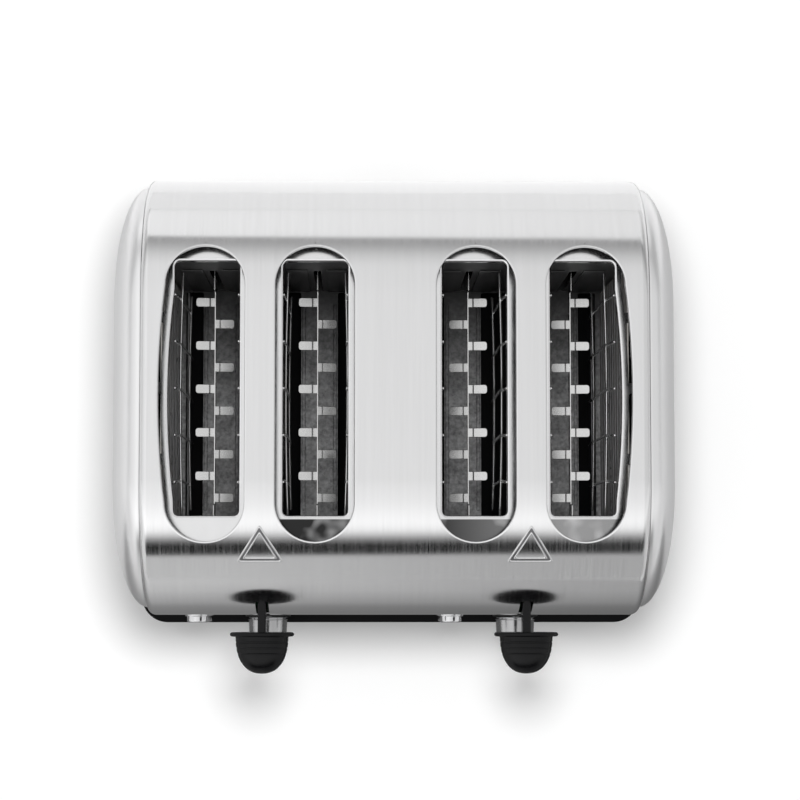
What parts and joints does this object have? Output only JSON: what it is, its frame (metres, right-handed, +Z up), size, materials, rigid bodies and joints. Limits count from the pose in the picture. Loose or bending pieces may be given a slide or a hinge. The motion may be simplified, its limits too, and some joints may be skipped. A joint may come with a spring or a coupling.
{
  "type": "toaster",
  "caption": "Wide-slot countertop toaster: brushed steel arch shell with rounded end caps, black base, push-down levers, browning knobs and round push buttons.",
  "frame": {"origin": "middle of the whole toaster's width and depth, levers included, at the height of the surface it stands on", "axes": "+X to the right seen from the front, +Y to the back, +Z up; the levers are on the -Y side"},
  "size_m": [0.2986, 0.2752, 0.194],
  "materials": {
    "brushed_steel": "stainless steel, brushed from front to back",
    "cap_silver": "satin silver end caps, smooth and slightly soft in their reflections",
    "plinth_black": "black moulded plastic, semi-gloss",
    "foot_rubber": "matt black rubber",
    "chassis_steel": "bright plated sheet steel",
    "wall_steel": "heat-darkened sheet steel",
    "floor_steel": "dull galvanised sheet steel, mottled",
    "mica_board": "grey-brown mica sheet with a flat heating strip",
    "guard_wire": "plated steel wire",
    "carriage_steel": "plated sheet steel",
    "spring_steel": "bright spring wire",
    "magnet_coil": "enamelled copper winding on an iron core",
    "lever_black": "black moulded plastic, glossy",
    "knob_chrome": "satin chrome",
    "bezel_black": "black moulded plastic",
    "button_chrome": "bright chrome",
    "circuit_board": "green circuit board with plain components",
    "tray_steel": "plain sheet steel"
  },
  "bodies": {
    "housing": {"top_shell": "brushed_steel", "end_cap_left": "cap_silver", "end_cap_right": "cap_silver", "base_plinth": "plinth_black", "cord_gland": "plinth_black", "foot_front_left": "foot_rubber", "foot_front_right": "foot_rubber", "foot_back_left": "foot_rubber", "foot_back_right": "foot_rubber", "chassis_top_plate_left": "chassis_steel", "chassis_top_plate_right": "chassis_steel", "chassis_front_wall_left": "wall_steel", "chassis_front_wall_right": "wall_steel", "chassis_back_wall_left": "wall_steel", "chassis_back_wall_right": "wall_steel", "chassis_floor_left": "floor_steel", "chassis_floor_right": "floor_steel", "heating_board_1": "mica_board", "heating_board_2": "mica_board", "heating_board_3": "mica_board", "heating_board_4": "mica_board", "heating_board_5": "mica_board", "heating_board_6": "mica_board", "guide_rod_left": "chassis_steel", "guide_rod_right": "chassis_steel", "return_spring_left": "spring_steel", "return_spring_right": "spring_steel", "electromagnet_left": "magnet_coil", "electromagnet_right": "magnet_coil", "control_board_left": "circuit_board", "control_board_right": "circuit_board", "knob_bezel_left": "bezel_black", "knob_bezel_right": "bezel_black"},
    "lever_left": {"bread_carriage_1": "carriage_steel", "bread_carriage_2": "carriage_steel", "carriage_bracket_left": "carriage_steel", "lever_handle_left": "lever_black"},
    "lever_right": {"bread_carriage_3": "carriage_steel", "bread_carriage_4": "carriage_steel", "carriage_bracket_right": "carriage_steel", "lever_handle_right": "lever_black"},
    "guard_1": {"bread_guard_1": "guard_wire"},
    "guard_2": {"bread_guard_2": "guard_wire"},
    "guard_3": {"bread_guard_3": "guard_wire"},
    "guard_4": {"bread_guard_4": "guard_wire"},
    "guard_5": {"bread_guard_5": "guard_wire"},
    "guard_6": {"bread_guard_6": "guard_wire"},
    "guard_7": {"bread_guard_7": "guard_wire"},
    "guard_8": {"bread_guard_8": "guard_wire"},
    "knob_left": {"browning_knob_left": "knob_chrome"},
    "knob_right": {"browning_knob_right": "knob_chrome"},
    "defrost_left": {"defrost_button_left": "button_chrome"},
    "defrost_right": {"defrost_button_right": "button_chrome"},
    "reheat_left": {"reheat_button_left": "button_chrome"},
    "reheat_right": {"reheat_button_right": "button_chrome"},
    "cancel_left": {"cancel_button_left": "button_chrome"},
    "cancel_right": {"cancel_button_right": "button_chrome"},
    "tray_left": {"crumb_tray_left": "tray_steel"},
    "tray_right": {"crumb_tray_right": "tray_steel"}
  },
  "joints": [
    {"name": "lever_left_slide", "type": "slide", "parent": "housing", "child": "lever_left", "axis": [0, 0, -1], "range_m": [0, 0.058], "stiffness_N_per_m": 60, "springref_m": -0.05, "deforming": ["return_spring_left"]},
    {"name": "lever_right_slide", "type": "slide", "parent": "housing", "child": "lever_right", "axis": [0, 0, -1], "range_m": [0, 0.058], "stiffness_N_per_m": 60, "springref_m": -0.05, "deforming": ["return_spring_right"]},
    {"name": "guard_1_slide", "type": "slide", "parent": "housing", "child": "guard_1", "axis": [1, 0, 0], "range_m": [0, 0.005]},
    {"name": "guard_2_slide", "type": "slide", "parent": "housing", "child": "guard_2", "axis": [-1, 0, 0], "range_m": [0, 0.005]},
    {"name": "guard_3_slide", "type": "slide", "parent": "housing", "child": "guard_3", "axis": [1, 0, 0], "range_m": [0, 0.005]},
    {"name": "guard_4_slide", "type": "slide", "parent": "housing", "child": "guard_4", "axis": [-1, 0, 0], "range_m": [0, 0.005]},
    {"name": "guard_5_slide", "type": "slide", "parent": "housing", "child": "guard_5", "axis": [1, 0, 0], "range_m": [0, 0.005]},
    {"name": "guard_6_slide", "type": "slide", "parent": "housing", "child": "guard_6", "axis": [-1, 0, 0], "range_m": [0, 0.005]},
    {"name": "guard_7_slide", "type": "slide", "parent": "housing", "child": "guard_7", "axis": [1, 0, 0], "range_m": [0, 0.005]},
    {"name": "guard_8_slide", "type": "slide", "parent": "housing", "child": "guard_8", "axis": [-1, 0, 0], "range_m": [0, 0.005]},
    {"name": "knob_left_turn", "type": "hinge", "parent": "housing", "child": "knob_left", "pos_m": [-0.0696, -0.10595, 0.059], "axis": [0, -1, 0], "range_deg": [-135, 135]},
    {"name": "knob_right_turn", "type": "hinge", "parent": "housing", "child": "knob_right", "pos_m": [0.0696, -0.10595, 0.059], "axis": [0, -1, 0], "range_deg": [-135, 135]},
    {"name": "defrost_left_push", "type": "slide", "parent": "housing", "child": "defrost_left", "axis": [0, 1, 0], "range_m": [0, 0.002], "stiffness_N_per_m": 300, "springref_m": -0.002},
    {"name": "defrost_right_push", "type": "slide", "parent": "housing", "child": "defrost_right", "axis": [0, 1, 0], "range_m": [0, 0.002], "stiffness_N_per_m": 300, "springref_m": -0.002},
    {"name": "reheat_left_push", "type": "slide", "parent": "housing", "child": "reheat_left", "axis": [0, 1, 0], "range_m": [0, 0.002], "stiffness_N_per_m": 300, "springref_m": -0.002},
    {"name": "reheat_right_push", "type": "slide", "parent": "housing", "child": "reheat_right", "axis": [0, 1, 0], "range_m": [0, 0.002], "stiffness_N_per_m": 300, "springref_m": -0.002},
    {"name": "cancel_left_push", "type": "slide", "parent": "housing", "child": "cancel_left", "axis": [0, 1, 0], "range_m": [0, 0.002], "stiffness_N_per_m": 300, "springref_m": -0.002},
    {"name": "cancel_right_push", "type": "slide", "parent": "housing", "child": "cancel_right", "axis": [0, 1, 0], "range_m": [0, 0.002], "stiffness_N_per_m": 300, "springref_m": -0.002},
    {"name": "tray_left_slide", "type": "slide", "parent": "housing", "child": "tray_left", "axis": [0, 1, 0], "range_m": [0, 0.15]},
    {"name": "tray_right_slide", "type": "slide", "parent": "housing", "child": "tray_right", "axis": [0, 1, 0], "range_m": [0, 0.15]}
  ],
  "couplings": [
    {"joint": "guard_1_slide", "follows": "lever_left_slide", "ratio": 0.0862},
    {"joint": "guard_2_slide", "follows": "lever_left_slide", "ratio": 0.0862},
    {"joint": "guard_3_slide", "follows": "lever_left_slide", "ratio": 0.0862},
    {"joint": "guard_4_slide", "follows": "lever_left_slide", "ratio": 0.0862},
    {"joint": "guard_5_slide", "follows": "lever_right_slide", "ratio": 0.0862},
    {"joint": "guard_6_slide", "follows": "lever_right_slide", "ratio": 0.0862},
    {"joint": "guard_7_slide", "follows": "lever_right_slide", "ratio": 0.0862},
    {"joint": "guard_8_slide", "follows": "lever_right_slide", "ratio": 0.0862}
  ]
}
